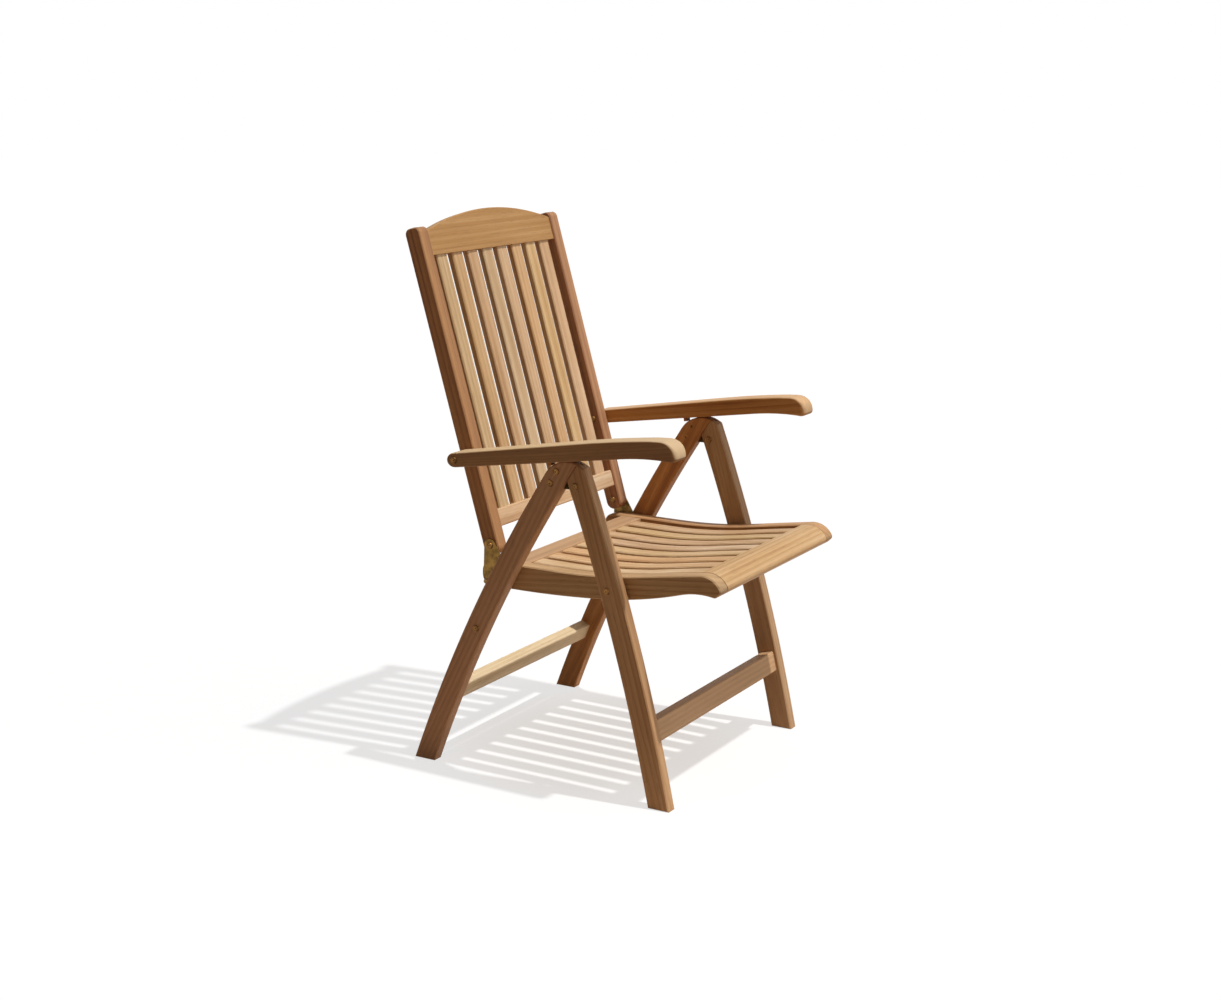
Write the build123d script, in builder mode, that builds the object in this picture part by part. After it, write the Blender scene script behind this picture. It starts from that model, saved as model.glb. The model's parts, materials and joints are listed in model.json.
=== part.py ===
from build123d import *
import math
import os

os.makedirs("parts", exist_ok=True)

# Folding, reclining armchair in teak with brass fittings. Sizes are in millimetres.
# Side-view points are (forward, height), measured from the floor midway between the feet.
# The chair faces -Y, and its right side is -X.

# Across the chair
leg_outer = 290.0
leg_thickness = 26.0
side_gap = 6.5
rail_thickness = 31.0
arm_gap = 2.0
arm_width = 47.0

# Legs
leg_width = 45.0
rear_foot = (-271.0, 0.0)
rear_head = (52.0, 640.0)
rear_bow = 20.0
front_foot = (276.0, 0.0)
front_head = (93.0, 620.0)
front_bow = 12.0
crown = (71.0, 600.0)
mitre_gap = 0.5
mitre_run = 200.0
wood_ease = 2.2

# Leg hinge
rear_rivets = ((45.0, 638.0), (31.5, 614.0))
leg_pivot = (87.0, 614.0)
catch_point = (72.0, 659.0)
catch_radius = 6.0
hinge_lobe = 10.0
hinge_plate_thickness = 4.0
hinge_slot_below = 34.0
fold_stop = (-141.0, 299.0)

# Stretchers
stretcher_height = 144.0
rear_stretcher_section = (25.0, 36.0)
rear_stretcher_back = 8.5
front_stretcher_section = (30.0, 43.0)
leg_tenon_length = 15.0
leg_tenon_inset = 5.0

# Seat
seat_pivot = (158.0, 418.0)
seat_top = ((-147.0, 432.0), (35.0, 432.0), (213.0, 447.0), (338.0, 467.0))
seat_nose = (385.0, 440.0)
seat_bottom = ((-147.0, 381.0), (-78.0, 381.0), (125.0, 390.0), (299.0, 423.5), (372.0, 427.0))
seat_nose_round = 8.0
seat_tail_round = 22.0
slat_count = 8
seat_slat_width = 37.0
seat_slat_thickness = 14.0
seat_slat_drop = 3.5
front_rail_depth = 58.0
front_rail_tenon = (30.0, 18.0)
rear_rail_front = -56.0
rear_rail_depth = 48.0
rear_rail_thickness = 22.0
rear_rail_tenon = (38.0, 12.0)
rest_peg_height = 396.0
rest_peg_reach = 22.0

# Back
back_pivot = (-127.0, 464.0)
back_lean = 16.55
stile_depth = 35.0
stile_above = 641.0
stile_below = 21.0
stile_foot_flat = 1.0
stile_top_round = 11.7
arm_pivot_up = 182.0
back_rail_thickness = 22.0
back_rail_inset = 4.0
bottom_rail = (30.0, 65.0)
top_rail_drop = 10.0
top_rail_height = 49.0
top_rail_arch = 33.0
back_slat_width = 36.0
back_slat_thickness = 14.0

# Armrests
arm_end_radius = 14.5
arm_top = ((-95.0, 665.0), (127.0, 706.0), (266.0, 721.0))
arm_nose = (319.0, 693.0)
arm_bottom = ((194.0, 680.5), (309.0, 685.5))
arm_nose_round = 6.0
arm_round = 5.0
arm_corner = 16.0
corner_trim = 0.3
channel_width = 14.0
channel_depth = 11.0
tooth_recess = 5.0
notch_count = 5
notch_pitch = 19.5
notch_radius = 12.5
rack_lead = 26.0
stop_tooth_back = 42.0
stop_tooth_drop = 8.0
stop_tooth_length = 8.0

# Joinery, bolts and fits
tenon_length = 12.0
tenon_inset = 4.0
glue_gap = 0.1
running_gap = 0.05
slot_gap = 0.4
bolt_diameter = 9.0
rivet_diameter = 7.0
head_diameter = 14.0
head_height = 2.6
head_taper = 20.0
nut_height = 3.0
washer_radius = 12.5
peg_ease = 0.8
gusset_thickness = 2.5
gusset_lobe = 13.0
gusset_heel = (-133.0, 404.0)
gusset_screw = (-82.0, 397.0)
gusset_corner_radius = 9.0
gusset_notch_turn = 0.4
screw_length = 18.0
screw_head = 1.0
rest_gap = 0.3

leg_inner = leg_outer - leg_thickness
leg_middle = leg_outer - leg_thickness / 2
rail_outer = leg_inner - side_gap
rail_inner = rail_outer - rail_thickness
arm_inner = rail_outer + arm_gap
arm_outer = arm_inner + arm_width
gusset_outer = rail_outer + gusset_thickness
stile_foot_round = (stile_depth - stile_foot_flat) / 2
top_rail_end = stile_above - top_rail_drop
top_rail_low = top_rail_end - top_rail_height
top_rail_crest = top_rail_end + top_rail_arch


# A leg's bow: the centre and radius of the circle that its middle line follows
def bow_circle(foot, head, bow, bulge_side):
    run, rise = head[0] - foot[0], head[1] - foot[1]
    chord = math.hypot(run, rise)
    radius = (chord**2 / 4 + bow**2) / (2 * bow)
    reach = bulge_side * (radius - bow) / chord
    centre = ((foot[0] + head[0]) / 2 + rise * reach, (foot[1] + head[1]) / 2 - run * reach)
    return centre, radius


# Forward place of a point on a circle at a given height, on its rear (-1) or front (+1) side
def on_circle(centre, radius, height, side):
    return centre[0] + side * math.sqrt(radius**2 - (height - centre[1]) ** 2)


# Direction from a bow's centre to a point, in degrees
def lean_at(centre, point):
    return math.degrees(math.atan2(point[1] - centre[1], point[0] - centre[0]))


rear_centre, rear_radius = bow_circle(rear_foot, rear_head, rear_bow, 1)
front_centre, front_radius = bow_circle(front_foot, front_head, front_bow, -1)
crown_offset = math.dist(crown, rear_centre)
crown_radius = rear_radius + leg_width / 2 - crown_offset
crown_tangent = tuple(c + (c - r) * mitre_run / crown_offset for c, r in zip(crown, rear_centre))

# The seat's peg stands on the rear edge of the rear leg
peg_radius = bolt_diameter / 2
rest_peg_forward = on_circle(
    rear_centre, rear_radius + leg_width / 2 + peg_radius + rest_gap, rest_peg_height, -1
)
rest_peg = (rest_peg_forward, rest_peg_height)

back_sine = math.sin(math.radians(back_lean))
back_cosine = math.cos(math.radians(back_lean))


# A point on the back, from the back pivot: forward of the stile's middle line, and up along it
def on_back(forward, up):
    return (
        back_pivot[0] + forward * back_cosine - up * back_sine,
        back_pivot[1] + forward * back_sine + up * back_cosine,
    )


arm_pivot = on_back(0, arm_pivot_up)


# A straight run through the first two points, and then arcs that each go on from the last
def arc_chain(*points):
    run = Line(points[0], points[1])
    for start, end in zip(points[1:], points[2:]):
        run = TangentArc(start, end, tangent=run % 1)


# Side outlines, each drawn once
with BuildSketch() as rear_leg_outline:
    with Locations(rear_centre):
        Circle(rear_radius + leg_width / 2)
        Circle(rear_radius - leg_width / 2, mode=Mode.SUBTRACT)
    with BuildSketch(mode=Mode.INTERSECT):
        with BuildLine():
            Polyline(crown, crown_tangent, (2 * rear_foot[0], 0), (front_foot[0], 0), close=True)
        make_face()
        with Locations(crown):
            Circle(crown_radius)

with BuildSketch() as front_leg_outline:
    with Locations(front_centre):
        Circle(front_radius + leg_width / 2)
        Circle(front_radius - leg_width / 2, mode=Mode.SUBTRACT)
    with BuildSketch(mode=Mode.INTERSECT):
        with Locations(crown):
            Rectangle(2 * front_foot[0], crown[1], align=(Align.CENTER, Align.MAX))
        with Locations(crown):
            Circle(crown_radius)
    with Locations(rear_centre):
        Circle(rear_radius - leg_width / 2 - mitre_gap, mode=Mode.INTERSECT)

with BuildSketch() as seat_rail_outline:
    with BuildLine():
        arc_chain(*seat_top, seat_nose)
        arc_chain(*seat_bottom)
        Line(seat_nose, seat_bottom[-1])
        Line(seat_top[0], seat_bottom[0])
    make_face()
    fillet(seat_rail_outline.vertices().sort_by(Axis.X)[:2], seat_tail_round)
    fillet(seat_rail_outline.vertices().sort_by(Axis.X)[-2:], seat_nose_round)

with BuildSketch() as stile_outline:
    with Locations(Location((*on_back(0, (stile_above - stile_below) / 2), 0), (0, 0, back_lean))):
        Rectangle(stile_depth, stile_above + stile_below)
    fillet(stile_outline.vertices().sort_by(Axis.Y)[:2], stile_foot_round)
    fillet(stile_outline.vertices().sort_by(Axis.Y)[-2:], stile_top_round)

back_rail_rear = stile_depth / 2 - back_rail_inset - back_rail_thickness
rearmost = min(stile_outline.sketch.bounding_box().min.X, on_back(back_rail_rear, top_rail_crest)[0])
rail_box = seat_rail_outline.sketch.bounding_box()
middle = (rail_box.max.X + rearmost) / 2


# Side plane at a place across the chair: x is forward, y is up, and extrusion goes towards -X
def side(across):
    return Plane(origin=(across, middle, 0), x_dir=(0, -1, 0), z_dir=(-1, 0, 0))


# Front-facing plane of the back: x is across, y is up along the stiles, and extrusion goes forward
def back_face(forward):
    place = on_back(forward, 0)
    return Plane(
        origin=(0, middle - place[0], place[1]), x_dir=(1, 0, 0), z_dir=(0, -back_cosine, back_sine)
    )


# Edges round a side piece's outer and inner faces
def side_edges(piece):
    faces = piece.faces().filter_by(Axis.X).sort_by(Axis.X)
    return faces[0].edges() + faces[-1].edges()


# A round hole through a right-hand piece, between two places across the chair
def bore(points, inner, outer, diameter):
    with BuildSketch(side(-inner)) as holes:
        with Locations(*points):
            Circle(diameter / 2)
    extrude(holes.sketch, amount=outer - inner, mode=Mode.SUBTRACT)


# A right-hand pin with a low head on its outer end
def headed_pin(point, inner, outer, diameter, height=head_height):
    with BuildSketch(side(-inner)) as shank:
        with Locations(point):
            Circle(diameter / 2)
    extrude(shank.sketch, amount=outer - inner)
    pin_head(point, outer, height)


# A head or nut on a face of a right-hand piece, outwards or, for a negative height, inwards
def pin_head(point, face, height):
    with BuildSketch(side(-face)) as head:
        with Locations(point):
            Circle(head_diameter / 2)
    extrude(head.sketch, amount=height, taper=head_taper)


# Rear legs, with the pocket for the hinge plate
with BuildSketch() as hinge_outline:
    with Locations(*rear_rivets, leg_pivot):
        Circle(hinge_lobe)
    with Locations(catch_point):
        Circle(catch_radius)
    make_hull()

rear_stretcher_place = (
    on_circle(rear_centre, rear_radius + rear_stretcher_back, stretcher_height, -1),
    stretcher_height,
)
rear_stretcher_lean = lean_at(rear_centre, rear_stretcher_place) - 180
front_stretcher_place = (on_circle(front_centre, front_radius, stretcher_height, 1), stretcher_height)
front_stretcher_lean = lean_at(front_centre, front_stretcher_place)
slot_half = hinge_plate_thickness / 2 + slot_gap


# A stretcher's section in the side view, set in by a margin
def stretcher_section(place, section, lean, inset):
    with BuildSketch() as outline:
        with Locations(Location((*place, 0), (0, 0, lean))):
            Rectangle(section[0] - 2 * inset, section[1] - 2 * inset)
    return outline.sketch


# The blind mortise in a right-hand leg for a stretcher's tenon
def leg_mortise(place, section, lean):
    with BuildSketch(side(-leg_inner)) as mouth:
        add(stretcher_section(place, section, lean, leg_tenon_inset - glue_gap))
    extrude(mouth.sketch, amount=leg_tenon_length + glue_gap, mode=Mode.SUBTRACT)


with BuildPart() as rear_leg_right:
    with BuildSketch(side(-leg_inner)):
        add(rear_leg_outline.sketch)
    extrude(amount=leg_thickness)
    chamfer(side_edges(rear_leg_right), wood_ease)
    with BuildSketch(side(slot_half - leg_middle)):
        offset(hinge_outline.sketch, amount=slot_gap)
    extrude(amount=2 * slot_half, mode=Mode.SUBTRACT)
    bore(rear_rivets, leg_inner, leg_outer, rivet_diameter + 2 * glue_gap)
    bore([fold_stop], leg_inner, leg_outer, bolt_diameter + 2 * glue_gap)
    leg_mortise(rear_stretcher_place, rear_stretcher_section, rear_stretcher_lean)

with BuildPart() as rear_leg_left:
    mirror(rear_leg_right.part, about=Plane.YZ)

# Front legs, slotted from the mitre so that they swing round the hinge plate
with BuildPart() as front_leg_right:
    with BuildSketch(side(-leg_inner)):
        add(front_leg_outline.sketch)
    extrude(amount=leg_thickness)
    chamfer(side_edges(front_leg_right), wood_ease)
    with BuildSketch(side(slot_half - leg_middle)):
        with Locations((leg_pivot[0] + hinge_lobe + 2 * slot_gap, leg_pivot[1] - hinge_slot_below)):
            Rectangle(leg_width + hinge_lobe, 2 * crown_radius, align=(Align.MAX, Align.MIN))
    extrude(amount=2 * slot_half, mode=Mode.SUBTRACT)
    bore([leg_pivot], leg_inner, leg_outer, bolt_diameter + 2 * running_gap)
    bore([seat_pivot], leg_inner, leg_outer, bolt_diameter + 2 * glue_gap)
    leg_mortise(front_stretcher_place, front_stretcher_section, front_stretcher_lean)

with BuildPart() as front_leg_left:
    mirror(front_leg_right.part, about=Plane.YZ)


# A bar across the chair, as far to each side as given
def cross_bar(section, half_length):
    with BuildSketch(side(half_length)) as bar:
        add(section)
    extrude(bar.sketch, amount=2 * half_length)


# A stretcher between the legs, with a tenon on each end
def stretcher(place, section, lean):
    with BuildPart() as bar:
        cross_bar(stretcher_section(place, section, lean, 0), leg_inner)
        chamfer(bar.edges().filter_by(Axis.X), wood_ease)
        cross_bar(stretcher_section(place, section, lean, leg_tenon_inset), leg_inner + leg_tenon_length)
    return bar.part


with BuildPart() as rear_stretcher:
    add(stretcher(rear_stretcher_place, rear_stretcher_section, rear_stretcher_lean))

with BuildPart() as front_stretcher:
    add(stretcher(front_stretcher_place, front_stretcher_section, front_stretcher_lean))

# Leg hinges: a brass plate let into both legs, riveted to the rear one
with BuildPart() as hinge_plate_right:
    with BuildSketch(side(hinge_plate_thickness / 2 - leg_middle)):
        add(hinge_outline.sketch)
        with Locations(*rear_rivets):
            Circle(rivet_diameter / 2 + glue_gap, mode=Mode.SUBTRACT)
        with Locations(leg_pivot):
            Circle(bolt_diameter / 2 + glue_gap, mode=Mode.SUBTRACT)
    extrude(amount=hinge_plate_thickness)

with BuildPart() as hinge_plate_left:
    mirror(hinge_plate_right.part, about=Plane.YZ)

with BuildPart() as hinge_rivets:
    for rivet in rear_rivets:
        headed_pin(rivet, leg_inner, leg_outer, rivet_diameter)
    mirror(about=Plane.YZ)

with BuildPart() as leg_pivot_bolts:
    headed_pin(leg_pivot, leg_inner, leg_outer, bolt_diameter)
    pin_head(leg_pivot, leg_inner, -head_height)
    mirror(about=Plane.YZ)

with BuildPart() as fold_stop_bolts:
    headed_pin(fold_stop, leg_inner, leg_outer, bolt_diameter)
    pin_head(fold_stop, leg_inner, -head_height)
    mirror(about=Plane.YZ)

with BuildPart() as seat_pivot_bolts:
    headed_pin(seat_pivot, rail_inner, leg_outer, bolt_diameter)
    pin_head(seat_pivot, rail_inner, -nut_height)
    mirror(about=Plane.YZ)

with BuildPart() as seat_pivot_washers:
    with BuildSketch(side(-rail_outer)):
        with Locations(seat_pivot):
            Circle(washer_radius)
            Circle(bolt_diameter / 2 + glue_gap, mode=Mode.SUBTRACT)
    extrude(amount=side_gap)
    mirror(about=Plane.YZ)


# Seat side rails, front rail and rear rail
front_rail_back = seat_nose[0] - front_rail_depth
rear_rail_top = seat_top[0][1] - seat_slat_drop / 2

with BuildSketch() as front_rail_outline:
    add(seat_rail_outline.sketch)
    with Locations((front_rail_back, 0)):
        Rectangle(rail_box.size.X, 2 * rail_box.max.Y, align=(Align.MIN, Align.CENTER), mode=Mode.INTERSECT)

with BuildSketch() as rear_rail_outline:
    with Locations((rear_rail_front, rear_rail_top)):
        Rectangle(rear_rail_depth, rear_rail_thickness, align=(Align.MAX, Align.MAX))


# The tenon's section of a seat cross rail, in the middle of its outline, let out by a clearance
def rail_tenon(outline, size, grow):
    middle_point = outline.sketch.face().center()
    with BuildSketch() as tenon:
        with Locations((middle_point.X, middle_point.Y)):
            Rectangle(size[0] + 2 * grow, size[1] + 2 * grow)
    return tenon.sketch


# The blind mortise in a right-hand seat rail
def rail_mortise(outline, size):
    with BuildSketch(side(-rail_inner)) as mouth:
        add(rail_tenon(outline, size, glue_gap))
    extrude(mouth.sketch, amount=tenon_length + glue_gap, mode=Mode.SUBTRACT)


with BuildPart() as seat_rail_right:
    with BuildSketch(side(-rail_inner)):
        add(seat_rail_outline.sketch)
    extrude(amount=rail_thickness)
    chamfer(side_edges(seat_rail_right), wood_ease)
    bore([seat_pivot], rail_inner, rail_outer, bolt_diameter + 2 * running_gap)
    bore([rest_peg], rail_inner, rail_outer, bolt_diameter + 2 * glue_gap)
    bore([gusset_screw], rail_outer - screw_length - glue_gap, rail_outer, bolt_diameter + 2 * glue_gap)
    rail_mortise(front_rail_outline, front_rail_tenon)
    rail_mortise(rear_rail_outline, rear_rail_tenon)

with BuildPart() as seat_rail_left:
    mirror(seat_rail_right.part, about=Plane.YZ)

# Seat slats follow the top of the side rails, a little below it
with BuildSketch() as seat_slat_outline:
    with Locations((0, -seat_slat_drop)):
        add(seat_rail_outline.sketch)
    with Locations((0, -seat_slat_drop - seat_slat_thickness)):
        add(seat_rail_outline.sketch, mode=Mode.SUBTRACT)
    with Locations((rear_rail_front, 0)):
        Rectangle(
            front_rail_back - rear_rail_front,
            2 * rail_box.max.Y,
            align=(Align.MIN, Align.CENTER),
            mode=Mode.INTERSECT,
        )

slat_ends = seat_slat_outline.edges().filter_by(Axis.Y).sort_by(Axis.X)
rear_tenon_place, front_tenon_place = slat_ends[0].center(), slat_ends[-1].center()
seat_slat_gap = (2 * rail_inner - slat_count * seat_slat_width) / (slat_count + 1)
back_slat_gap = (2 * rail_inner - slat_count * back_slat_width) / (slat_count + 1)


# Where the slats stand across the chair
def slat_places(width, gap):
    return [rail_inner - (gap + width) * (count + 1) + width / 2 for count in range(slat_count)]


seat_slat_places = slat_places(seat_slat_width, seat_slat_gap)
back_slat_places = slat_places(back_slat_width, back_slat_gap)


# The stub tenons on both ends of a seat slat, or their mortises when grown
def seat_slat_tenons(place, grow, mode):
    width = seat_slat_width - 2 * tenon_inset + 2 * grow
    with BuildSketch(side(place + width / 2)) as stubs:
        for end, way in ((rear_tenon_place, Align.MAX), (front_tenon_place, Align.MIN)):
            with Locations((end.X, end.Y)):
                Rectangle(
                    tenon_length + grow,
                    seat_slat_thickness - tenon_inset + 2 * grow,
                    align=(way, Align.CENTER),
                )
    extrude(stubs.sketch, amount=width, mode=mode)


seat_slats = []
for place in seat_slat_places:
    with BuildPart() as seat_slat:
        with BuildSketch(side(place + seat_slat_width / 2)):
            add(seat_slat_outline.sketch)
        extrude(amount=seat_slat_width)
        chamfer(seat_slat.edges().filter_by(lambda edge: edge.length > front_rail_depth), wood_ease)
        seat_slat_tenons(place, 0, Mode.ADD)
    seat_slats.append(seat_slat)

with BuildPart() as seat_front_rail:
    cross_bar(front_rail_outline.sketch, rail_inner)
    cross_bar(rail_tenon(front_rail_outline, front_rail_tenon, 0), rail_inner + tenon_length)
    for place in seat_slat_places:
        seat_slat_tenons(place, glue_gap, Mode.SUBTRACT)

with BuildPart() as seat_rear_rail:
    cross_bar(rear_rail_outline.sketch, rail_inner)
    cross_bar(rail_tenon(rear_rail_outline, rear_rail_tenon, 0), rail_inner + tenon_length)
    for place in seat_slat_places:
        seat_slat_tenons(place, glue_gap, Mode.SUBTRACT)

# Back hinges: a brass gusset swings on a shoulder screw in each seat rail, and its heel sits on a peg
# through the rail, which itself stands on the rear leg
peg_run, peg_rise = rest_peg[0] - gusset_screw[0], rest_peg[1] - gusset_screw[1]
notch_mouth = (rest_peg[0] - peg_rise * gusset_notch_turn, rest_peg[1] + peg_run * gusset_notch_turn)

with BuildPart() as back_gusset_right:
    with BuildSketch(side(-rail_outer)):
        with Locations(back_pivot):
            Circle(gusset_lobe)
        with Locations(gusset_heel, gusset_screw):
            Circle(gusset_corner_radius)
        make_hull()
    extrude(amount=gusset_thickness)
    bore([back_pivot], rail_outer, gusset_outer, bolt_diameter + 2 * glue_gap)
    bore([gusset_screw], rail_outer, gusset_outer, bolt_diameter + 2 * running_gap)
    with BuildSketch(side(-rail_outer)):
        with Locations(rest_peg):
            Circle(peg_radius + rest_gap)
        with Locations(notch_mouth):
            Circle(gusset_corner_radius)
        make_hull()
    extrude(amount=gusset_thickness, mode=Mode.SUBTRACT)

with BuildPart() as back_gusset_left:
    mirror(back_gusset_right.part, about=Plane.YZ)

with BuildPart() as gusset_screws:
    headed_pin(gusset_screw, rail_outer - screw_length, gusset_outer, bolt_diameter, screw_head)
    mirror(about=Plane.YZ)

with BuildPart() as rest_pegs:
    with BuildSketch(side(-rail_inner)):
        with Locations(rest_peg):
            Circle(peg_radius)
    extrude(amount=gusset_outer + rest_peg_reach - rail_inner)
    chamfer(rest_pegs.faces().sort_by(Axis.X)[0].edges(), peg_ease)
    mirror(about=Plane.YZ)

# Back stiles, rails and slats
back_rail_middle = back_rail_rear + back_rail_thickness / 2


# The blind mortises in a right-hand stile, and the tenons on a back rail when not grown
def back_rail_tenons(low, high, grow, mode):
    thickness = back_rail_thickness - 2 * tenon_inset + 2 * grow
    with BuildSketch(back_face(back_rail_middle - thickness / 2)) as tenons:
        with Locations((0, (low + high) / 2)):
            Rectangle(2 * (rail_inner + tenon_length + grow), high - low - 2 * tenon_inset + 2 * grow)
    extrude(tenons.sketch, amount=thickness, mode=mode)


# The stub tenons on both ends of a back slat, or their mortises when grown
def back_slat_tenons(place, grow, mode):
    thickness = back_slat_thickness - tenon_inset + 2 * grow
    low, high = bottom_rail[1] - tenon_length - grow, top_rail_low + tenon_length + grow
    with BuildSketch(back_face(back_rail_middle - thickness / 2)) as stubs:
        with Locations((place, (low + high) / 2)):
            Rectangle(back_slat_width - 2 * tenon_inset + 2 * grow, high - low)
    extrude(stubs.sketch, amount=thickness, mode=mode)


with BuildPart() as back_stile_right:
    with BuildSketch(side(-rail_inner)):
        add(stile_outline.sketch)
    extrude(amount=rail_thickness)
    chamfer(side_edges(back_stile_right), wood_ease)
    bore([back_pivot, arm_pivot], rail_inner, rail_outer, bolt_diameter + 2 * running_gap)
    back_rail_tenons(*bottom_rail, glue_gap, Mode.SUBTRACT)
    back_rail_tenons(top_rail_low, top_rail_end, glue_gap, Mode.SUBTRACT)

with BuildPart() as back_stile_left:
    mirror(back_stile_right.part, about=Plane.YZ)

with BuildPart() as back_top_rail:
    with BuildSketch(back_face(back_rail_rear)):
        with BuildLine():
            Polyline(
                (-rail_inner, top_rail_end),
                (-rail_inner, top_rail_low),
                (rail_inner, top_rail_low),
                (rail_inner, top_rail_end),
            )
            ThreePointArc((rail_inner, top_rail_end), (0, top_rail_crest), (-rail_inner, top_rail_end))
        make_face()
    extrude(amount=back_rail_thickness)
    crest = back_top_rail.faces().sort_by(Axis.Z)[-1]
    chamfer(crest.edges().filter_by(GeomType.CIRCLE), wood_ease)
    back_rail_tenons(top_rail_low, top_rail_end, 0, Mode.ADD)
    for place in back_slat_places:
        back_slat_tenons(place, glue_gap, Mode.SUBTRACT)

with BuildPart() as back_bottom_rail:
    with BuildSketch(back_face(back_rail_rear)):
        with Locations((0, sum(bottom_rail) / 2)):
            Rectangle(2 * rail_inner, bottom_rail[1] - bottom_rail[0])
    extrude(amount=back_rail_thickness)
    chamfer(back_bottom_rail.edges().filter_by(Axis.X), wood_ease)
    back_rail_tenons(*bottom_rail, 0, Mode.ADD)
    for place in back_slat_places:
        back_slat_tenons(place, glue_gap, Mode.SUBTRACT)

back_slats = []
for place in back_slat_places:
    with BuildPart() as back_slat:
        with BuildSketch(back_face(back_rail_middle - back_slat_thickness / 2)):
            with Locations((place, (bottom_rail[1] + top_rail_low) / 2)):
                Rectangle(back_slat_width, top_rail_low - bottom_rail[1])
        extrude(amount=back_slat_thickness)
        chamfer(back_slat.edges().group_by(Edge.length)[-1], wood_ease)
        back_slat_tenons(place, 0, Mode.ADD)
    back_slats.append(back_slat)

with BuildPart() as back_pivot_bolts:
    headed_pin(back_pivot, rail_inner, gusset_outer, bolt_diameter)
    pin_head(back_pivot, rail_inner, -nut_height)
    mirror(about=Plane.YZ)

# Armrests: the straight underside runs from the nose to the round end at the pivot
arm_reach = math.dist(arm_bottom[0], arm_pivot)
arm_slope = math.degrees(
    math.atan2(arm_bottom[0][1] - arm_pivot[1], arm_bottom[0][0] - arm_pivot[0])
    + math.asin(arm_end_radius / arm_reach)
)
arm_sine, arm_cosine = math.sin(math.radians(arm_slope)), math.cos(math.radians(arm_slope))


# A point from an origin, along the arm's underside and square to it
def on_arm(origin, along, up):
    return (
        origin[0] + along * arm_cosine - up * arm_sine,
        origin[1] + along * arm_sine + up * arm_cosine,
    )


# The catch point in the arm's directions, from where the underside ends
catch_run, catch_rise = catch_point[0] - arm_bottom[0][0], catch_point[1] - arm_bottom[0][1]
catch_along = catch_run * arm_cosine + catch_rise * arm_sine
catch_up = catch_rise * arm_cosine - catch_run * arm_sine
under_catch = on_arm(arm_bottom[0], catch_along, 0)

rack_rear = -stop_tooth_back - stop_tooth_length
rack_front = (notch_count - 1) * notch_pitch + rack_lead


# A block under the arm, between two places along it and two heights, let out by a clearance
def under_block(rear, front, low, high, grow):
    place = on_arm(under_catch, (rear + front) / 2, (low + high) / 2)
    with Locations(Location((*place, 0), (0, 0, arm_slope))):
        Rectangle(front - rear + 2 * grow, high - low + 2 * grow)


with BuildSketch() as arm_outline:
    with BuildLine():
        rear_top, rear_bottom = (on_arm(arm_pivot, 0, way * arm_end_radius) for way in (1, -1))
        ThreePointArc(rear_bottom, on_arm(arm_pivot, -arm_end_radius, 0), rear_top)
        arc_chain(rear_bottom, *arm_bottom)
        arc_chain(rear_top, on_arm(rear_top, arm_end_radius, 0), *arm_top, arm_nose)
        Line(arm_nose, arm_bottom[-1])
    make_face()
    for corner in (arm_nose, arm_bottom[-1]):
        fillet(arm_outline.vertices().sort_by_distance((*corner, 0))[0], arm_nose_round)

with BuildSketch() as rack_outline:
    under_block(rack_rear, rack_front, tooth_recess, channel_depth, 0)
    for count in range(notch_count):
        with Locations(on_arm(under_catch, count * notch_pitch, catch_up)):
            Circle(notch_radius, mode=Mode.SUBTRACT)
    under_block(rack_rear, rack_rear + stop_tooth_length, -stop_tooth_drop, channel_depth, 0)

arm_box = arm_outline.sketch.bounding_box()

with BuildPart() as armrest_right:
    with BuildSketch(side(-arm_inner)):
        add(arm_outline.sketch)
    extrude(amount=arm_width)
    fillet(side_edges(armrest_right), arm_round)
    with BuildSketch():
        with Locations((-(arm_inner + arm_outer) / 2, middle - (arm_box.min.X + arm_box.max.X) / 2)):
            RectangleRounded(arm_width + 2 * corner_trim, arm_box.size.X + 2 * corner_trim, arm_corner)
    extrude(amount=2 * arm_box.max.Y, mode=Mode.INTERSECT)
    bore([arm_pivot], arm_inner, arm_outer, bolt_diameter + 2 * running_gap)
    with BuildSketch(side(channel_width / 2 - leg_middle)):
        under_block(rack_rear, rack_front, -channel_depth, channel_depth, glue_gap)
    extrude(amount=channel_width, mode=Mode.SUBTRACT)

with BuildPart() as armrest_left:
    mirror(armrest_right.part, about=Plane.YZ)

with BuildPart() as notch_rack_right:
    with BuildSketch(side(channel_width / 2 - glue_gap - leg_middle)):
        add(rack_outline.sketch)
    extrude(amount=channel_width - 2 * glue_gap)

with BuildPart() as notch_rack_left:
    mirror(notch_rack_right.part, about=Plane.YZ)

with BuildPart() as arm_pivot_bolt_right:
    headed_pin(arm_pivot, rail_inner, arm_outer, bolt_diameter)
    pin_head(arm_pivot, rail_inner, -nut_height)

with BuildPart() as arm_pivot_bolt_left:
    mirror(arm_pivot_bolt_right.part, about=Plane.YZ)

with BuildPart() as arm_pivot_washer_right:
    with BuildSketch(side(-rail_outer)):
        with Locations(arm_pivot):
            Circle(washer_radius)
            Circle(bolt_diameter / 2 + glue_gap, mode=Mode.SUBTRACT)
    extrude(amount=arm_gap)

with BuildPart() as arm_pivot_washer_left:
    mirror(arm_pivot_washer_right.part, about=Plane.YZ)

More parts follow.
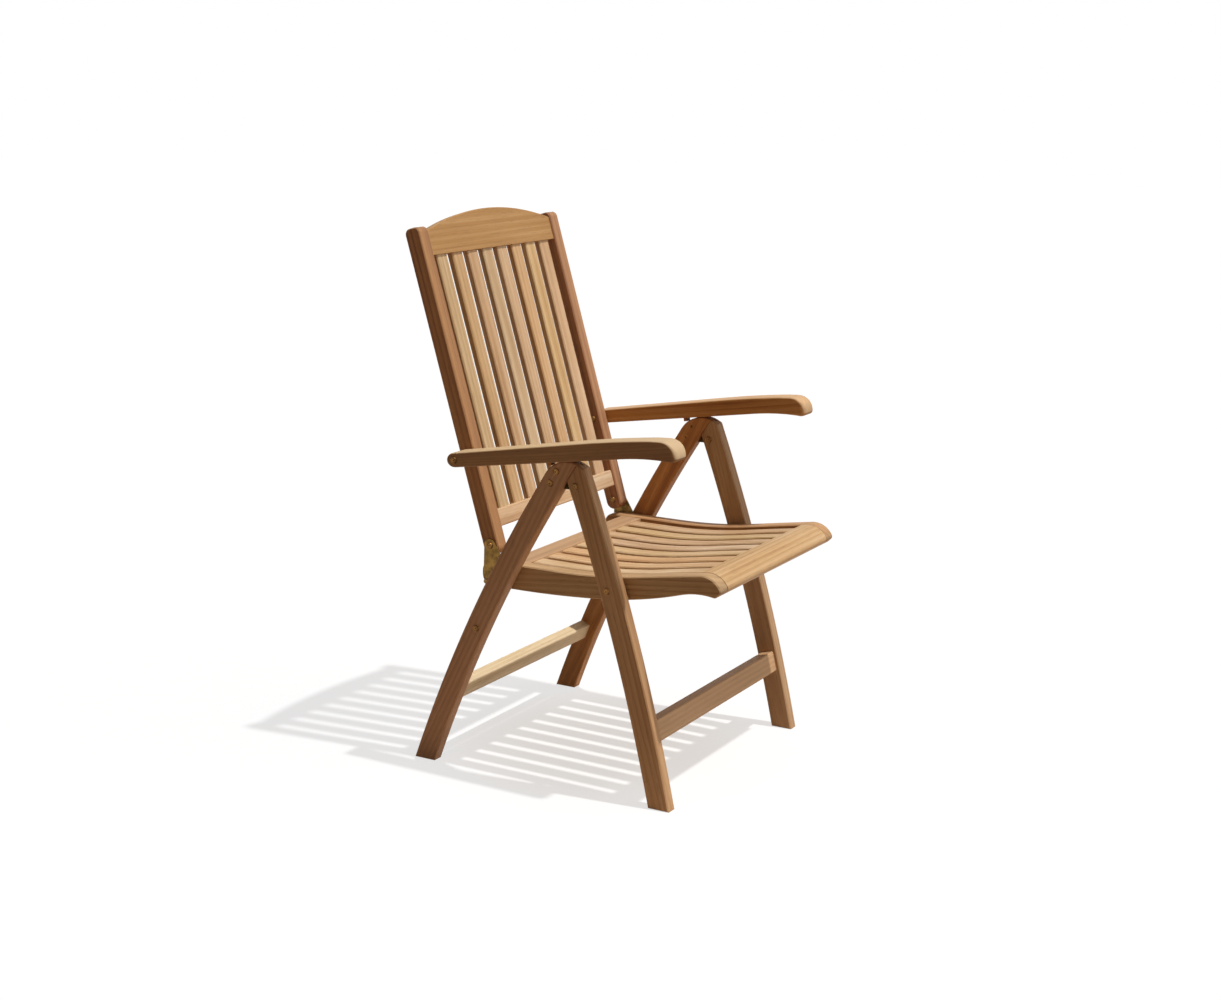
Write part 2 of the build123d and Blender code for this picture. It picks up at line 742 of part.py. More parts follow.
# One file for each piece
pieces = {
    "rear_leg_right": rear_leg_right,
    "rear_leg_left": rear_leg_left,
    "front_leg_right": front_leg_right,
    "front_leg_left": front_leg_left,
    "rear_stretcher": rear_stretcher,
    "front_stretcher": front_stretcher,
    "hinge_plate_right": hinge_plate_right,
    "hinge_plate_left": hinge_plate_left,
    "hinge_rivets": hinge_rivets,
    "leg_pivot_bolts": leg_pivot_bolts,
    "fold_stop_bolts": fold_stop_bolts,
    "seat_pivot_bolts": seat_pivot_bolts,
    "seat_pivot_washers": seat_pivot_washers,
    "seat_rail_right": seat_rail_right,
    "seat_rail_left": seat_rail_left,
    "seat_front_rail": seat_front_rail,
    "seat_rear_rail": seat_rear_rail,
    "back_gusset_right": back_gusset_right,
    "back_gusset_left": back_gusset_left,
    "gusset_screws": gusset_screws,
    "rest_pegs": rest_pegs,
    "back_stile_right": back_stile_right,
    "back_stile_left": back_stile_left,
    "back_top_rail": back_top_rail,
    "back_bottom_rail": back_bottom_rail,
    "back_pivot_bolts": back_pivot_bolts,
    "armrest_right": armrest_right,
    "armrest_left": armrest_left,
    "notch_rack_right": notch_rack_right,
    "notch_rack_left": notch_rack_left,
    "arm_pivot_bolt_right": arm_pivot_bolt_right,
    "arm_pivot_bolt_left": arm_pivot_bolt_left,
    "arm_pivot_washer_right": arm_pivot_washer_right,
    "arm_pivot_washer_left": arm_pivot_washer_left,
}
for count in range(slat_count):
    pieces[f"seat_slat_{count + 1}"] = seat_slats[count]
    pieces[f"back_slat_{count + 1}"] = back_slats[count]

for name, piece in pieces.items():
    piece.part.label = name
    export_step(piece.part, f"parts/{name}.step")
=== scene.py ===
import json
import math

import bmesh
import bpy
from mathutils import Euler, Matrix, Vector, geometry


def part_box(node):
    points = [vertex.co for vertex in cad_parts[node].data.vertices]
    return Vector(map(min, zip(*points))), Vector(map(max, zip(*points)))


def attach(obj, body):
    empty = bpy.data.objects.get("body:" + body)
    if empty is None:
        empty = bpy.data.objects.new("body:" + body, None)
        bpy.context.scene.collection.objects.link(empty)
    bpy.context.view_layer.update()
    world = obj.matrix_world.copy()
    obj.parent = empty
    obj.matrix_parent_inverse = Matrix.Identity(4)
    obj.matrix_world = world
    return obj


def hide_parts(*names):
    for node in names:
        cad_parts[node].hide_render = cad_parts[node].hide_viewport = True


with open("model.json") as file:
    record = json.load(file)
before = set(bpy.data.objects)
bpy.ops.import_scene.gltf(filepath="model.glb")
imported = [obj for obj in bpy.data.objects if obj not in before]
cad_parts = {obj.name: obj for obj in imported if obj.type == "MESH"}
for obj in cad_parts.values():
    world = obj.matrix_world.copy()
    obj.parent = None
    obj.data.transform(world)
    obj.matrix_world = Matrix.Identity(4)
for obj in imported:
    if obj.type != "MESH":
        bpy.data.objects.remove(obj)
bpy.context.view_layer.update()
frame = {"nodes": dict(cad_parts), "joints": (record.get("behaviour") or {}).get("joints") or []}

nodes = frame["nodes"]
scene = bpy.context.scene


# sRGB hex to the linear colour that a socket takes
def linear(hexColour):
    channels = [int(hexColour[i:i + 2], 16) / 255 for i in (1, 3, 5)]
    return [c / 12.92 if c <= 0.04045 else ((c + 0.055) / 1.055) ** 2.4 for c in channels] + [1.0]


# Adds a node: settings are its properties, inputs are values or the sockets that feed it
def addNode(tree, kind, inputs=None, **settings):
    node = tree.nodes.new(kind)
    for name, value in settings.items():
        setattr(node, name, value)
    for key, value in (inputs or {}).items():
        if isinstance(value, bpy.types.NodeSocket):
            tree.links.new(value, node.inputs[key])
        else:
            node.inputs[key].default_value = value
    return node


# Sets the stops of a colour ramp, as pairs of place and hex colour
def setStops(ramp, stops):
    elements = ramp.color_ramp.elements
    while len(elements) < len(stops):
        elements.new(1.0)
    for element, (place, colour) in zip(elements, stops):
        element.position = place
        element.color = linear(colour)


def newMaterial(name):
    material = bpy.data.materials.new(name)
    material.use_nodes = True
    material.node_tree.nodes.clear()
    return material, material.node_tree


# Oiled teak, planed and hand sanded: long straight figure, fine dark pores along the grain, darker
# end grain, and a satin skin that shows only a broad soft gleam. Sizes are in millimetres.
teakLook = dict(
    ringSpacing=11.0,
    ringStretch=0.05,           # along the board the rings change slowly
    ringWander=6.0,
    wanderDetail=2.0,
    wanderScale=0.25,
    wanderRoughness=0.6,
    pithAway=70.0,
    streaks=dict(width=2.6, length=330.0, detail=3.0),
    pores=dict(width=1.3, length=30.0, detail=1.0),     # real ones are finer, these are as fine as show
    blotches=dict(width=34.0, length=300.0, detail=1.0),
    noiseRoughness=0.55,
    streakShare=0.76,           # of the figure, where rings are the rest
    blotchShare=0.7,            # added to the figure
    toneSpan=(0.47, 1.25),      # the sum that goes from the first stop to the last
    tonePlaces=(0.0, 0.35, 0.7, 1.0),
    poreSpan=(0.28, 0.42),
    poreShade=0.74,
    endSpan=(0.75, 0.95),       # how squarely a face cuts the grain
    endShade=0.66,
    fadeAndPaintedLight="#E3C69F",           # painted light, with some fading by the sun, on the faces that look up and forward towards the sun
    # the way that the faces painted paler look, towards the sun and the glow
    sunward=(0.0, -0.6, 0.8),
    sunwardSpan=(0.2, 0.55),
    roughness=(0.5, 0.68),
    bumpHeight=0.22,
    bumpStrength=0.35,
    ior=1.48,
    specular=0.3,
)

# Stops from the dark late wood to the pale early wood, one row for each shade of board
teakShades = dict(
    honey=("#A87E52", "#C29C70", "#D0AF87", "#DEC7A5"),
    tan=("#936238", "#B28350", "#C39664", "#D3AD7E"),
    umber=("#936339", "#A77848", "#B48759", "#C1986B"),
    brown=("#6C4527", "#865C39", "#956C45", "#A27D58"),
    red=("#7C4B27", "#A26B3A", "#B7804A", "#C7945D"),
    drab=("#8C6A45", "#A2805A", "#AE8D68", "#BBA07C"),
    pale=("#C4A77C", "#DAC29A", "#E5D0AE", "#EEE0C4"),
)

# No two boards are cut from the same tree: a board's number turns its pith, shifts its figure and, by a
# reach and a rate, tints it
boardSpread = dict(
    pithTurn=2.399,
    pithShift=0.37,
    figureShift=(1.7, 0.9, 1.3),
    hue=(0.005, 4.1),
    saturation=(0.07, 7.7),
    value=(0.08, 12.99),
)

waveRadians = 20        # a wave texture runs through so many radians in one unit


def teakBoard(name, shade, centre, turn, number, fadeAndLightShare):
    look, spread = teakLook, boardSpread
    material, tree = newMaterial(name)
    spot = addNode(tree, "ShaderNodeTexCoord").outputs
    along = addNode(tree, "ShaderNodeMapping",
                    {"Vector": spot["Object"], "Location": centre, "Rotation": turn},
                    vector_type="TEXTURE").outputs["Vector"]
    pith = Vector((number * spread["pithShift"], 0, look["pithAway"] / 1000))
    pith.rotate(Euler((number * spread["pithTurn"], 0, 0)))
    log = addNode(tree, "ShaderNodeMapping",
                  {"Vector": along, "Location": pith, "Scale": (look["ringStretch"], 1, 1)}).outputs["Vector"]
    rings = addNode(tree, "ShaderNodeTexWave",
                    {"Vector": log, "Scale": 2 * math.pi / waveRadians * 1000 / look["ringSpacing"],
                     "Distortion": look["ringWander"], "Detail": look["wanderDetail"],
                     "Detail Scale": look["wanderScale"], "Detail Roughness": look["wanderRoughness"]},
                    wave_type="RINGS", rings_direction="X").outputs["Fac"]

    # Noise drawn out along the board, from a width and a length in millimetres
    def drawnNoise(width, length, detail):
        drawn = addNode(tree, "ShaderNodeMapping",
                        {"Vector": along, "Location": [number * shift for shift in spread["figureShift"]],
                         "Scale": (1000 / length, 1000 / width, 1000 / width)}).outputs["Vector"]
        return addNode(tree, "ShaderNodeTexNoise",
                       {"Vector": drawn, "Scale": 1.0, "Detail": detail,
                        "Roughness": look["noiseRoughness"]}).outputs["Fac"]

    streaks, pores, blotches = (drawnNoise(**look[kind]) for kind in ("streaks", "pores", "blotches"))

    figure = addNode(tree, "ShaderNodeMix",
                     {"Factor": look["streakShare"], "A": rings, "B": streaks}).outputs["Result"]
    figure = addNode(tree, "ShaderNodeMath", {0: blotches, 1: look["blotchShare"], 2: figure},
                     operation="MULTIPLY_ADD").outputs[0]
    tone = addNode(tree, "ShaderNodeMapRange",
                   {"Value": figure, "From Min": look["toneSpan"][0], "From Max": look["toneSpan"][1]})
    ramp = addNode(tree, "ShaderNodeValToRGB", {"Fac": tone.outputs["Result"]})
    setStops(ramp, list(zip(look["tonePlaces"], teakShades[shade])))
    poreShade = addNode(tree, "ShaderNodeMapRange",
                        {"Value": pores, "From Min": look["poreSpan"][0], "From Max": look["poreSpan"][1],
                         "To Min": look["poreShade"], "To Max": 1.0}).outputs["Result"]

    # End grain drinks the oil and shows darker
    facing = addNode(tree, "ShaderNodeMapping", {"Vector": spot["Normal"], "Rotation": turn},
                     vector_type="TEXTURE").outputs["Vector"]
    endwise = addNode(tree, "ShaderNodeSeparateXYZ", {"Vector": facing}).outputs["X"]
    endwise = addNode(tree, "ShaderNodeMath", {0: endwise}, operation="ABSOLUTE").outputs[0]
    endShade = addNode(tree, "ShaderNodeMapRange",
                       {"Value": endwise, "From Min": look["endSpan"][0], "From Max": look["endSpan"][1],
                        "To Min": 1.0, "To Max": look["endShade"]}).outputs["Result"]
    darkening = addNode(tree, "ShaderNodeMath", {0: poreShade, 1: endShade}, operation="MULTIPLY").outputs[0]
    colour = addNode(tree, "ShaderNodeMix", {"Factor": 1.0, "A": ramp.outputs["Color"], "B": darkening},
                     data_type="RGBA", blend_type="MULTIPLY").outputs["Result"]

    # Faces that look up and forward, towards the sun and the glow, are painted paler: painted light, with
    # some fading by the sun
    sunward = addNode(tree, "ShaderNodeVectorMath", {0: spot["Normal"], 1: look["sunward"]},
                      operation="DOT_PRODUCT").outputs["Value"]
    paintedLightAndFade = addNode(tree, "ShaderNodeMapRange",
                   {"Value": sunward, "From Min": look["sunwardSpan"][0], "From Max": look["sunwardSpan"][1],
                    "To Max": fadeAndLightShare},
                   interpolation_type="SMOOTHSTEP").outputs["Result"]
    colour = addNode(tree, "ShaderNodeMix", {"Factor": paintedLightAndFade, "A": colour, "B": linear(look["fadeAndPaintedLight"])},
                     data_type="RGBA").outputs["Result"]

    hue, saturation, value = (spread[tint][0] * math.sin(number * spread[tint][1])
                              for tint in ("hue", "saturation", "value"))
    colour = addNode(tree, "ShaderNodeHueSaturation",
                     {"Color": colour, "Hue": 0.5 + hue, "Saturation": 1.0 + saturation,
                      "Value": 1.0 + value}).outputs["Color"]
    roughness = addNode(tree, "ShaderNodeMapRange",
                        {"Value": streaks, "To Min": look["roughness"][0], "To Max": look["roughness"][1]})
    height = addNode(tree, "ShaderNodeMath", {0: streaks, 1: poreShade}, operation="ADD").outputs[0]
    bump = addNode(tree, "ShaderNodeBump",
                   {"Height": height, "Strength": look["bumpStrength"],
                    "Distance": look["bumpHeight"] / 1000})
    shader = addNode(tree, "ShaderNodeBsdfPrincipled",
                     {"Base Color": colour, "Roughness": roughness.outputs["Result"],
                      "Normal": bump.outputs["Normal"], "IOR": look["ior"],
                      "Specular IOR Level": look["specular"]})
    addNode(tree, "ShaderNodeOutputMaterial", {"Surface": shader.outputs["BSDF"]})
    return material


# Solid brass, turned and left to dull outdoors: olive gold with brown tarnish in patches. On a bolt's
# or rivet's head it has a centre dimple and a turned groove, by distance from the pin's axis, both darkened
# with painted shade. Sizes are in millimetres.
brassLook = dict(
    patch=16.0,
    patchDetail=4.0,
    patchRoughness=0.6,
    scratch=0.8,
    scratchDetail=1.0,
    tarnish="#54401F",
    polished="#8C6A38",
    tarnishSpan=(0.32, 0.62),
    roughness=(0.34, 0.54),
    headRadius=7.0,
    headRingsAndShade=((0.0, "#5A5A5A"), (0.16, "#5A5A5A"), (0.24, "#FFFFFF"), (0.55, "#FFFFFF"), (0.62, "#707070"),
               (0.68, "#707070"), (0.75, "#FFFFFF")),   # places are shares of the radius
    headDepth=3.0,              # against the scratches
    bumpHeight=0.2,
    bumpStrength=0.25,
)

# Bolts, rivets and screws are a browner brass than the gussets
boltLook = dict(tarnish="#5C4023", polished="#94693B")

# The hinge plates under the arms are painted nearly black, as painted shade between arm and leg: rough,
# with little gleam
plateShadeLook = dict(tarnish="#241B10", polished="#4B3A20", roughness=(0.5, 0.7))


def brass(name, look, axes):
    material, tree = newMaterial(name)
    place = addNode(tree, "ShaderNodeTexCoord").outputs["Object"]
    patches = addNode(tree, "ShaderNodeTexNoise",
                      {"Vector": place, "Scale": 1000 / look["patch"], "Detail": look["patchDetail"],
                       "Roughness": look["patchRoughness"]}).outputs["Fac"]
    height = addNode(tree, "ShaderNodeTexNoise",
                     {"Vector": place, "Scale": 1000 / look["scratch"],
                      "Detail": look["scratchDetail"]}).outputs["Fac"]
    ramp = addNode(tree, "ShaderNodeValToRGB", {"Fac": patches})
    setStops(ramp, list(zip(look["tarnishSpan"], (look["tarnish"], look["polished"]))))
    colour = ramp.outputs["Color"]
    for y, z in axes:
        out = addNode(tree, "ShaderNodeMapping",
                      {"Vector": place, "Location": (0, -y, -z), "Scale": (0, 1, 1)}).outputs["Vector"]
        reach = addNode(tree, "ShaderNodeVectorMath", {0: out}, operation="LENGTH").outputs["Value"]
        reach = addNode(tree, "ShaderNodeMath", {0: reach, 1: 1000 / look["headRadius"]},
                        operation="MULTIPLY").outputs[0]
        # The grey stops paint shade into the head's dimple and groove
        ramp = addNode(tree, "ShaderNodeValToRGB", {"Fac": reach})
        setStops(ramp, look["headRingsAndShade"])
        turned = ramp.outputs["Color"]
        colour = addNode(tree, "ShaderNodeMix", {"Factor": 1.0, "A": colour, "B": turned},
                         data_type="RGBA", blend_type="MULTIPLY").outputs["Result"]
        height = addNode(tree, "ShaderNodeMath", {0: turned, 1: look["headDepth"], 2: height},
                         operation="MULTIPLY_ADD").outputs[0]
    dull, bright = reversed(look["roughness"])
    roughness = addNode(tree, "ShaderNodeMapRange", {"Value": patches, "To Min": dull, "To Max": bright})
    bump = addNode(tree, "ShaderNodeBump",
                   {"Height": height, "Strength": look["bumpStrength"],
                    "Distance": look["bumpHeight"] / 1000})
    shader = addNode(tree, "ShaderNodeBsdfPrincipled",
                     {"Base Color": colour, "Metallic": 1.0,
                      "Roughness": roughness.outputs["Result"], "Normal": bump.outputs["Normal"]})
    addNode(tree, "ShaderNodeOutputMaterial", {"Surface": shader.outputs["BSDF"]})
    return material


# Shaped arm: a board with a round end at the pivot, a blunt nose, eased edges and a channel underneath
# for the notched strip. Places are forward and up in millimetres, from the chair's middle and the floor.
armForm = dict(
    slope=8.648,                # degrees that the arm rises towards the front
    ease=3.0,                   # radius of the eased edges
    easeSteps=4,
    plan=10.0,                  # radius of the nose's corners, seen from above
    planSteps=4,
    endRadius=14.5,
    endStretch=1.22,            # the round end is a little longer than half a circle
    boreRadius=4.55,
    roundSteps=18,
    top=((-124.5, 667.2), (-12.8, 686.2), (97.5, 704.8), (143.6, 711.8), (190.0, 717.7), (222.0, 721.2),
         (244.0, 722.6)),
    topSteps=8,
    nose=281.5,
    noseSteps=18,
    lip=9.0,                    # radius under the nose
    lipSteps=10,
    underTurn=(164.5, 680.5),   # where the straight underside starts to bend
    underBend=-0.000944,        # millimetres of rise for each square millimetre of run
    underSteps=10,
    channel=(-7.5, 145.0),      # its rear and front ends
    channelDepth=11.1,
    channelMiddle=277.0,        # from the chair's middle plane
    channelWidth=14.0,
)


# Angles from nought to the end of an arc, in equal steps
def arc(angle, steps):
    return [angle * step / steps for step in range(steps + 1)]


# The arm's outline seen from its side: round end, top, nose, then the underside back from the nose. The
# last two points are the ends of the channel.
def armOutline(form, pivot):
    lean = math.radians(form["slope"])
    along, up = Vector((math.cos(lean), math.sin(lean))), Vector((-math.sin(lean), math.cos(lean)))
    turnAt, turnHeight = form["underTurn"]

    def underside(forward):
        run = forward - turnAt
        return turnHeight + run * math.tan(lean) + (form["underBend"] * run * run if run > 0 else 0)

    points = [pivot - form["endRadius"] * (form["endStretch"] * math.sin(turn) * along + math.cos(turn) * up)
              for turn in arc(math.pi, form["roundSteps"])]
    knots = [points[-1]] + [Vector(knot) for knot in form["top"]]
    slopes = [along]
    slopes += [(after - before).normalized() for before, after in zip(knots, knots[2:])]
    slopes.append((knots[-1] - knots[-2]).normalized())
    for start, end, out, into in zip(knots, knots[1:], slopes, slopes[1:]):
        third = (end - start).length / 3
        curve = geometry.interpolate_bezier(start, start + out * third, end - into * third, end,
                                            form["topSteps"] + 1)
        points += [Vector(point[:2]) for point in curve[1:]]
    crest, rise = knots[-1], slopes[-1].y / slopes[-1].x
    for turn in arc(math.pi / 2, form["noseSteps"])[1:]:
        forward = crest.x + (form["nose"] - crest.x) * math.sin(turn)
        low = underside(forward) + form["lip"]
        high = crest.y + rise * (forward - crest.x)
        points.append(Vector((forward, low + (high - low) * math.cos(turn))))
    for turn in arc(math.pi / 2, form["lipSteps"])[1:]:
        forward = form["nose"] - form["lip"] * (1 - math.cos(turn))
        points.append(Vector((forward, underside(forward) + form["lip"] * (1 - math.sin(turn)))))
    lipEnd = points[-1].x
    for step in range(1, form["underSteps"] + 1):
        forward = lipEnd + (turnAt - lipEnd) * step / form["underSteps"]
        points.append(Vector((forward, underside(forward))))
    return points + [Vector((forward, underside(forward))) for forward in reversed(form["channel"])]


def armrest(hand, form):
    name = "armrest_" + hand
    low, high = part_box(name)
    axis = next(joint["pos_m"] for joint in frame["joints"] if joint["name"] == "arm_fold_" + hand)
    pivot = 1000 * Vector((-axis[1], axis[2]))
    outline = armOutline(form, pivot)
    count = len(outline)
    mesh = bmesh.new()

    # Corners at one place across the arm; towards the sides the nose is drawn back, which rounds it in plan
    crest, nose, plan = form["top"][-1][0], form["nose"], form["plan"]

    def corners(across, points):
        short = max(plan - 1000 * min(across - low.x, high.x - across), 0)
        drawn = plan - math.sqrt(plan ** 2 - min(short, plan) ** 2)
        made = []
        for point in points:
            share = max((point.x - crest) / (nose - crest), 0)
            made.append(mesh.verts.new((across, (drawn * share ** 2 - point.x) / 1000, point.y / 1000)))
        return made

    # Rings of corners round the outline, from one side over the eased edges to the other
    inward = []
    for before, after in zip([outline[-1]] + outline[:-1], outline[1:] + outline[:1]):
        along = (after - before).normalized()
        inward.append(Vector((along.y, -along.x)))
    ease, planSteps = form["ease"], form["planSteps"]
    stations = [(ease * (1 - math.cos(turn)), ease * (1 - math.sin(turn)))
                for turn in arc(math.pi / 2, form["easeSteps"])]
    stations += [(ease + (plan - ease) * step / planSteps, 0) for step in range(1, planSteps + 1)]
    stations = ([(low.x + across / 1000, inset) for across, inset in stations]
                + [(high.x - across / 1000, inset) for across, inset in reversed(stations)])
    rings = [corners(across, [point + way * inset for point, way in zip(outline, inward)])
             for across, inset in stations]

    # The channel's mouth and roof, as corners at its front and rear ends on each wall
    lean = math.radians(form["slope"])
    depth = form["channelDepth"] * Vector((-math.sin(lean), math.cos(lean)))
    mouth = outline[-2:]
    roof = [point + depth for point in mouth]
    middle = math.copysign(form["channelMiddle"], low.x)
    walls = [(middle + way * form["channelWidth"] / 2) / 1000 for way in (-1, 1)]
    (frontA, rearA), (frontB, rearB) = (corners(wall, mouth) for wall in walls)
    (roofA, backA), (roofB, backB) = (corners(wall, roof) for wall in walls)
    for face in ((frontA, rearA, backA, roofA), (frontB, rearB, backB, roofB), (frontA, frontB, roofB, roofA),
                 (rearA, rearB, backB, backA), (roofA, roofB, backB, backA)):
        mesh.faces.new(face)

    # Strips from ring to ring; the broadest one, along the middle, parts round the channel's mouth
    broadest = rings[len(rings) // 2 - 1]
    beforeMouth, besideMouth, behindMouth = range(count - 3, count)
    for ring, after in zip(rings, rings[1:]):
        for here in range(count):
            there = (here + 1) % count
            side = (ring[here], ring[there])
            other = (after[there], after[here])
            faces = [side + other]
            if ring is broadest and here == beforeMouth:
                faces = [side + (frontA, frontB) + other]
            elif ring is broadest and here == besideMouth:
                faces = [side + (rearA, frontA), (frontB, rearB) + other]
            elif ring is broadest and here == behindMouth:
                faces = [side + other + (rearB, rearA)]
            for face in faces:
                mesh.faces.new(face).smooth = True

    # Flat sides with the pivot's bore through them
    rim = [pivot + form["boreRadius"] * Vector((math.cos(turn), math.sin(turn)))
           for turn in arc(2 * math.pi, form["roundSteps"])[:-1]]
    bores = [corners(side.x, rim) for side in (low, high)]
    for ring, bore in ((rings[0], bores[0]), (rings[-1], bores[1])):
        edges = [mesh.edges.get(pair) for pair in zip(ring, ring[1:] + ring[:1])]
        edges += [mesh.edges.new(pair) for pair in zip(bore, bore[1:] + bore[:1])]
        bmesh.ops.triangle_fill(mesh, edges=edges, use_beauty=True)
    for here in range(len(rim)):
        there = (here + 1) % len(rim)
        mesh.faces.new((bores[0][here], bores[0][there], bores[1][there], bores[1][here])).smooth = True
    bmesh.ops.recalc_face_normals(mesh, faces=mesh.faces)

    data = bpy.data.meshes.new("shaped_" + name)
    mesh.to_mesh(data)
    mesh.free()
    piece = bpy.data.objects.new("shaped_" + name, data)
    scene.collection.objects.link(piece)
    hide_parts(name)
    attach(piece, "arm_" + hand)
    return piece


shapedArms = {"armrest_" + hand: armrest(hand, armForm) for hand in ("right", "left")}
print("arms shaped:", len(shapedArms))

# Each board's shade, the lean of its grain, and how far its faces towards the sun and the glow are painted
# paler, as painted light with some fading by the sun. With a lean of None the grain runs across the chair,
# and with one in degrees it rises from the front to the back.
boards = dict(
    rear_leg=("umber", -63.0, 0.1),
    rear_leg_left=("red", -63.0, 0.1),
    front_leg=("umber", 74.0, 0.1),
    front_leg_left=("drab", 74.0, 0.1),
    rear_stretcher=("pale", None, 0.2),
    front_stretcher=("umber", None, 0.2),
    seat_rail=("tan", -6.0, 0.2),
    seat_front_rail=("honey", None, 0.1),
    seat_rear_rail=("tan", None, 0.2),
    seat_slat=("honey", -4.0, 0.1),
    back_stile=("red", 73.45, 0.1),
    back_top_rail=("umber", None, 0.1),
    back_bottom_rail=("honey", None, 0.1),
    back_slat=("honey", 73.45, 0.1),
    armrest_right=("brown", -8.65, 0.66),
    armrest_left=("tan", -8.65, 0.5),
    notch_rack=("red", -8.65, 0.0),
)

madeBoards = 0
plainBrass = brass("dulled_brass", brassLook, [])
shadeBrass = brass("painted_shade_brass", brassLook | plateShadeLook, [])
boardNames = sorted(boards, key=len, reverse=True)      # one side's own row comes before its pair's
for name, node in nodes.items():
    board = next((start for start in boardNames if name.startswith(start)), None)
    low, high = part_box(name)
    centre = (low + high) / 2
    if board:
        shade, lean, fadeAndLightShare = boards[board]
        turn = (0, 0, 0) if lean is None else (0, -math.radians(lean), math.pi / 2)
        madeBoards += 1
        finish = teakBoard("oiled_teak_" + name, shade, centre, turn, madeBoards, fadeAndLightShare)
    elif name == "hinge_rivets":
        rim = brassLook["headRadius"] / 1000
        axes = [(low.y + rim, high.z - rim), (high.y - rim, low.z + rim)]
        finish = brass("dulled_brass_" + name, brassLook | boltLook, axes)
    elif "bolt" in name or "screw" in name:
        finish = brass("dulled_brass_" + name, brassLook | boltLook, [(centre.y, centre.z)])
    elif name.startswith("hinge_plate"):
        # painted shade: the hinge plates show nearly black where shade falls under the arms
        finish = shadeBrass
    else:
        finish = plainBrass
    node.data.materials.clear()
    node.data.materials.append(finish)
    if name in shapedArms:
        shapedArms[name].data.materials.append(finish)
print("finishes:", madeBoards, "teak boards and", len(nodes) - madeBoards, "brass fittings")


# One for what is seen directly, in metal or through glass, and nought for bounced light
def seenRays(tree):
    rays = addNode(tree, "ShaderNodeLightPath").outputs
    seen = rays["Is Camera Ray"]
    for ray in ("Is Glossy Ray", "Is Transmission Ray"):
        seen = addNode(tree, "ShaderNodeMath", {0: seen, 1: rays[ray]}, operation="MAXIMUM").outputs[0]
    return seen


# White paved ground in sun: white to the eye, with painted shade that makes the shadow deeper and warmer
# under the seat, where less of the glow lifts it and the white is warmer, and for bounced light a warm grey
# that is paler near the chair. Reaches are in metres from the chair's middle.
ground = dict(
    size=40.0,
    white="#FFFFFF",
    paintedShadeWhite="#FFFCF8",
    glow=1.02,
    lift=0.72,                  # share of the glow, which keeps the shadow pale
    paintedShadeLift=0.61,
    shadeReach=(0.1, 0.5),
    bounce="#9C8672",
    nearBounce="#EED8C4",
    bounceReach=1.2,
)

floorMesh = bmesh.new()
bmesh.ops.create_grid(floorMesh, x_segments=1, y_segments=1, size=ground["size"] / 2)
floorData = bpy.data.meshes.new("ground")
floorMesh.to_mesh(floorData)
floorMesh.free()
floor = bpy.data.objects.new("ground", floorData)
scene.collection.objects.link(floor)

material, tree = newMaterial("white_ground")
place = addNode(tree, "ShaderNodeTexCoord").outputs["Object"]
away = addNode(tree, "ShaderNodeVectorMath", {0: place}, operation="LENGTH").outputs["Value"]
# Nought near the chair, where painted shade deepens and warms the ground, and one beyond
clear = addNode(tree, "ShaderNodeMapRange",
                {"Value": away, "From Min": ground["shadeReach"][0], "From Max": ground["shadeReach"][1]},
                interpolation_type="SMOOTHSTEP").outputs["Result"]
white = addNode(tree, "ShaderNodeMix",
                {"Factor": clear, "A": linear(ground["paintedShadeWhite"]), "B": linear(ground["white"])},
                data_type="RGBA").outputs["Result"]
lift = addNode(tree, "ShaderNodeMix",
               {"Factor": clear, "A": ground["paintedShadeLift"], "B": ground["lift"]}).outputs["Result"]
glow = addNode(tree, "ShaderNodeEmission", {"Color": white, "Strength": ground["glow"]}).outputs[0]
lit = addNode(tree, "ShaderNodeBsdfDiffuse", {"Color": linear(ground["white"])}).outputs[0]
shown = addNode(tree, "ShaderNodeMixShader", {0: lift, 1: lit, 2: glow}).outputs[0]
far = addNode(tree, "ShaderNodeMapRange",
              {"Value": away, "From Max": ground["bounceReach"]}).outputs["Result"]
paving = addNode(tree, "ShaderNodeMix",
                 {"Factor": far, "A": linear(ground["nearBounce"]), "B": linear(ground["bounce"])},
                 data_type="RGBA").outputs["Result"]
bounce = addNode(tree, "ShaderNodeBsdfDiffuse", {"Color": paving}).outputs[0]
both = addNode(tree, "ShaderNodeMixShader", {0: seenRays(tree), 1: bounce, 2: shown}).outputs[0]
addNode(tree, "ShaderNodeOutputMaterial", {"Surface": both})
floorData.materials.append(material)

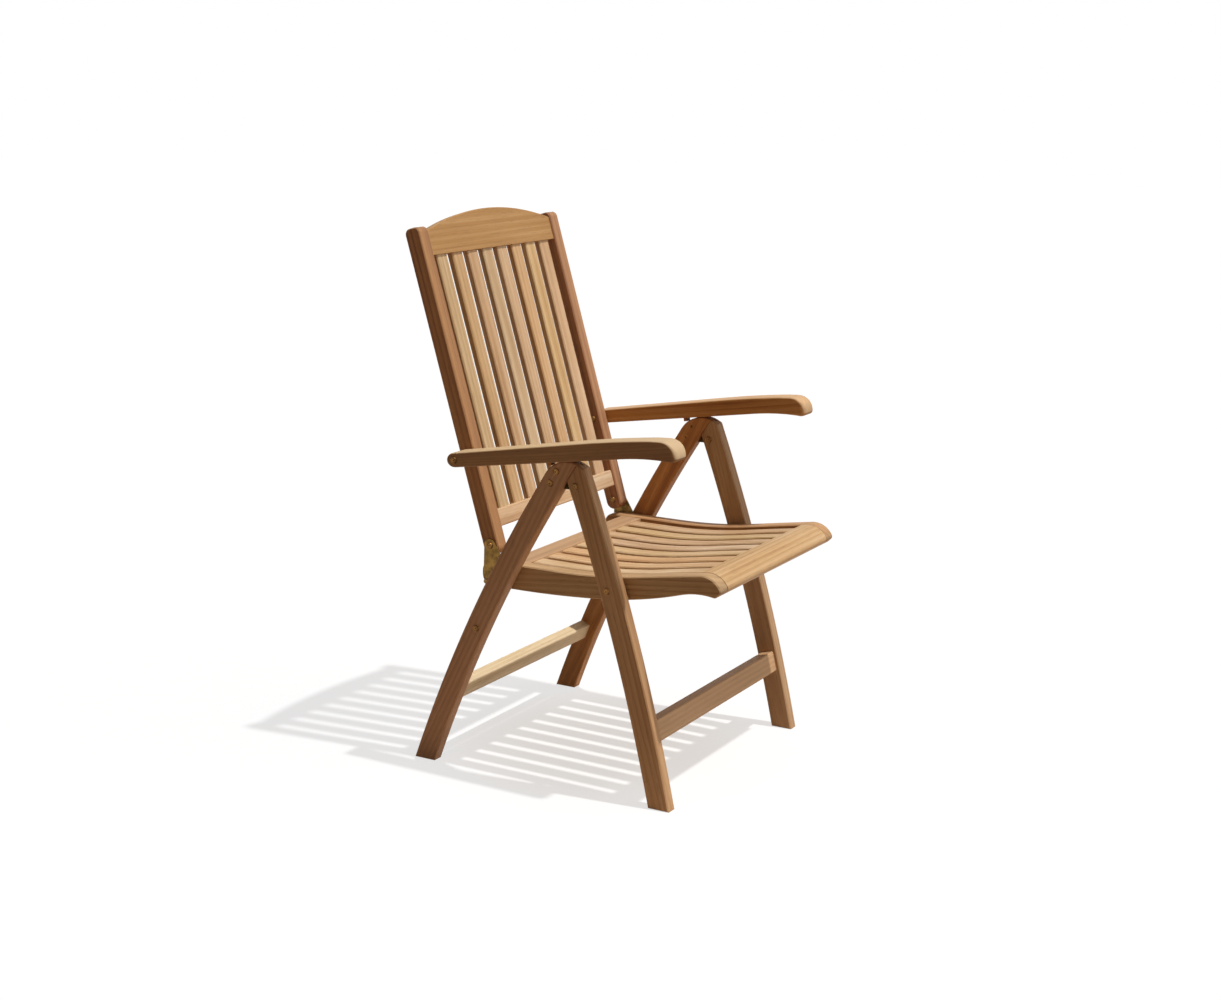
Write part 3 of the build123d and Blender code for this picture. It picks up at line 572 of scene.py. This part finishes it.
# High sun from in front of the chair, a little from its left, a broad white wall's glow on the chair's
# front, and a warm even sky that fills the shaded sides. Widths are in degrees.
daylight = dict(
    sun=dict(heading=(-0.07, 0.365, -1.0), strength=2.75, width=1.4),
    glow=dict(heading=(-0.25, 1.0, -0.3), strength=1.12, width=70.0),
    sky=0.085,
    tint="#FFE0CC",
    backdrop="#FFFFFF",
)

for name in ("sun", "glow"):
    lamp = bpy.data.lights.new(name, "SUN")
    lamp.energy = daylight[name]["strength"]
    lamp.angle = math.radians(daylight[name]["width"])
    source = bpy.data.objects.new(name, lamp)
    source.rotation_euler = Vector(daylight[name]["heading"]).to_track_quat("-Z", "Y").to_euler()
    scene.collection.objects.link(source)

world = bpy.data.worlds.new("sky")
world.use_nodes = True
scene.world = world
tree = world.node_tree
tree.nodes.clear()
fill = addNode(tree, "ShaderNodeBackground",
               {"Color": linear(daylight["tint"]), "Strength": daylight["sky"]}).outputs[0]
backdrop = addNode(tree, "ShaderNodeBackground",
                   {"Color": linear(daylight["backdrop"]), "Strength": 1.0}).outputs[0]
sky = addNode(tree, "ShaderNodeMixShader", {0: seenRays(tree), 1: fill, 2: backdrop}).outputs[0]
addNode(tree, "ShaderNodeOutputWorld", {"Surface": sky})

# The camera stands off the chair's right front corner. Its place and range are in metres, its angles in
# degrees, its sensor in millimetres, and its focal length in pixels of a picture of the width given.
view = dict(
    place=(-3.3324, -1.8886, 1.3925),
    pitch=-12.76,
    heading=-60.05,
    roll=0.49,
    focal=1919.08,
    width=1221,
    sensor=36.0,
    range=200.0,
)

lens = bpy.data.cameras.new("camera")
lens.sensor_width = view["sensor"]
lens.lens = view["focal"] * view["sensor"] / view["width"]
lens.clip_end = view["range"]
camera = bpy.data.objects.new("camera", lens)
aim = Euler((math.radians(90 + view["pitch"]), 0, math.radians(view["heading"]))).to_matrix()
roll = Matrix.Rotation(math.radians(view["roll"]), 3, "Z")
camera.matrix_world = Matrix.Translation(view["place"]) @ (aim @ roll).to_4x4()
scene.collection.objects.link(camera)
scene.camera = camera
scene.view_settings.view_transform = "Standard"
print("stage, light and camera set")
